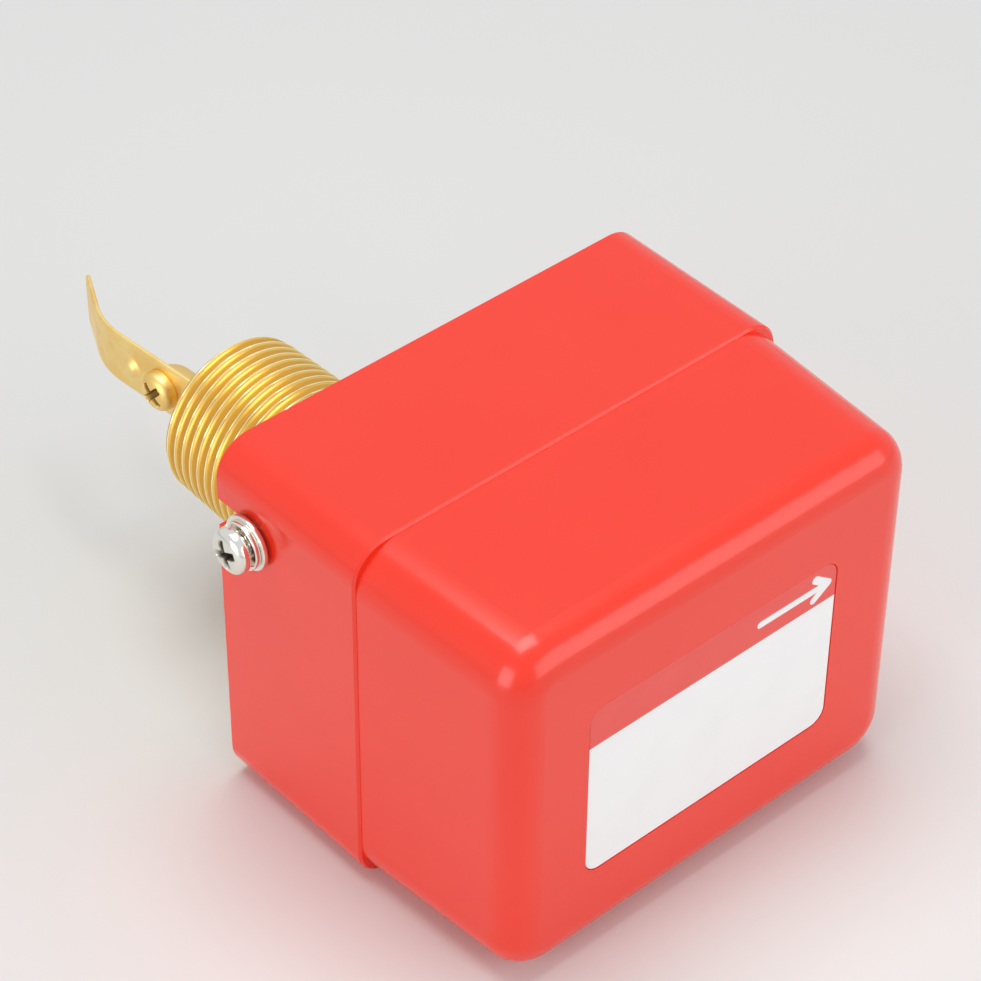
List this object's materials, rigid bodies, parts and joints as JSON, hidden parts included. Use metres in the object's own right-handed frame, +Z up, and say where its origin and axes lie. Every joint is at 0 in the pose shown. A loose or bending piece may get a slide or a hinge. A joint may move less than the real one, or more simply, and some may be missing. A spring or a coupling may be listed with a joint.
{
  "type": "paddle flow switch",
  "caption": "Paddle flow switch: red box housing on a brass male pipe fitting, with a hinged brass paddle that works a snap switch inside.",
  "frame": {"origin": "on the axis of the pipe thread, where the thread starts beside its neck", "axes": "+X the way the water flows, +Y out along the pipe thread towards the paddle, +Z up"},
  "size_m": [0.086, 0.1286, 0.061],
  "materials": {
    "red_gloss": "glossy moulded shell",
    "label": "printed film, satin",
    "zinc_steel": "zinc plated",
    "brass": "turned",
    "brass_sheet": "rolled strip",
    "bronze": "thin formed wall",
    "rubber_black": "moulded",
    "nickel_steel": "nickel plated",
    "spring_steel": "drawn",
    "switch_black": "moulded",
    "button_red": "moulded",
    "silver_contact": "silver plated",
    "bakelite": "moulded"
  },
  "bodies": {
    "housing": {"base_plate": "zinc_steel", "pipe_fitting": "brass", "fitting_gasket": "rubber_black", "fitting_nut": "brass", "flat_washers": "nickel_steel", "spring_washers": "nickel_steel", "cover_screws": "nickel_steel", "pivot_pin": "spring_steel", "range_bracket": "zinc_steel", "range_spring": "spring_steel", "switch_case": "switch_black", "switch_blades": "silver_contact", "switch_screws": "zinc_steel", "switch_bracket": "zinc_steel", "bracket_screws": "zinc_steel", "terminal_block": "bakelite", "terminal_screws": "nickel_steel", "terminal_clamps": "silver_contact", "earth_screw": "nickel_steel", "cable_grommet": "rubber_black"},
    "paddle_lever": {"lever_stem": "brass", "paddle": "brass_sheet", "paddle_screw": "brass", "rocker_arm": "zinc_steel", "rocker_screw": "zinc_steel", "bellows": "bronze"},
    "switch_lever": {"switch_lever": "spring_steel"},
    "switch_plunger": {"switch_plunger": "button_red"},
    "range_screw": {"range_screw": "nickel_steel"},
    "spring_seat": {"spring_seat": "brass"},
    "cover": {"cover": "red_gloss", "label_sheet": "label"}
  },
  "joints": [
    {"name": "paddle_swing", "type": "hinge", "parent": "housing", "child": "paddle_lever", "pos_m": [0, -0.0245, 0], "axis": [0, 0, -1], "range_deg": [0, 8.5], "stiffness_Nm_per_rad": 0.1, "deforming": ["range_spring"]},
    {"name": "switch_lever_hinge", "type": "hinge", "parent": "housing", "child": "switch_lever", "pos_m": [0.0069, -0.055, 0], "axis": [0, 0, 1], "range_deg": [0, 6.7]},
    {"name": "switch_plunger_slide", "type": "slide", "parent": "housing", "child": "switch_plunger", "axis": [-1, 0, 0], "range_m": [0, 0.0009]},
    {"name": "range_screw_turn", "type": "hinge", "parent": "housing", "child": "range_screw", "pos_m": [-0.0193, -0.0445, 0], "axis": [1, 0, 0], "range_deg": [-678.96, 678.96]},
    {"name": "spring_seat_slide", "type": "slide", "parent": "housing", "child": "spring_seat", "axis": [1, 0, 0], "range_m": [-0.0015, 0.0015], "deforming": ["range_spring"]},
    {"name": "cover_draw_off", "type": "slide", "parent": "housing", "child": "cover", "axis": [0, -1, 0], "range_m": [0, 0.062]}
  ],
  "couplings": [
    {"joint": "switch_lever_hinge", "follows": "paddle_swing", "ratio": 0.78},
    {"joint": "switch_plunger_slide", "follows": "paddle_swing", "m_per_rad": 0.006},
    {"joint": "range_screw_turn", "follows": "spring_seat_slide", "rad_per_m": 7854}
  ]
}
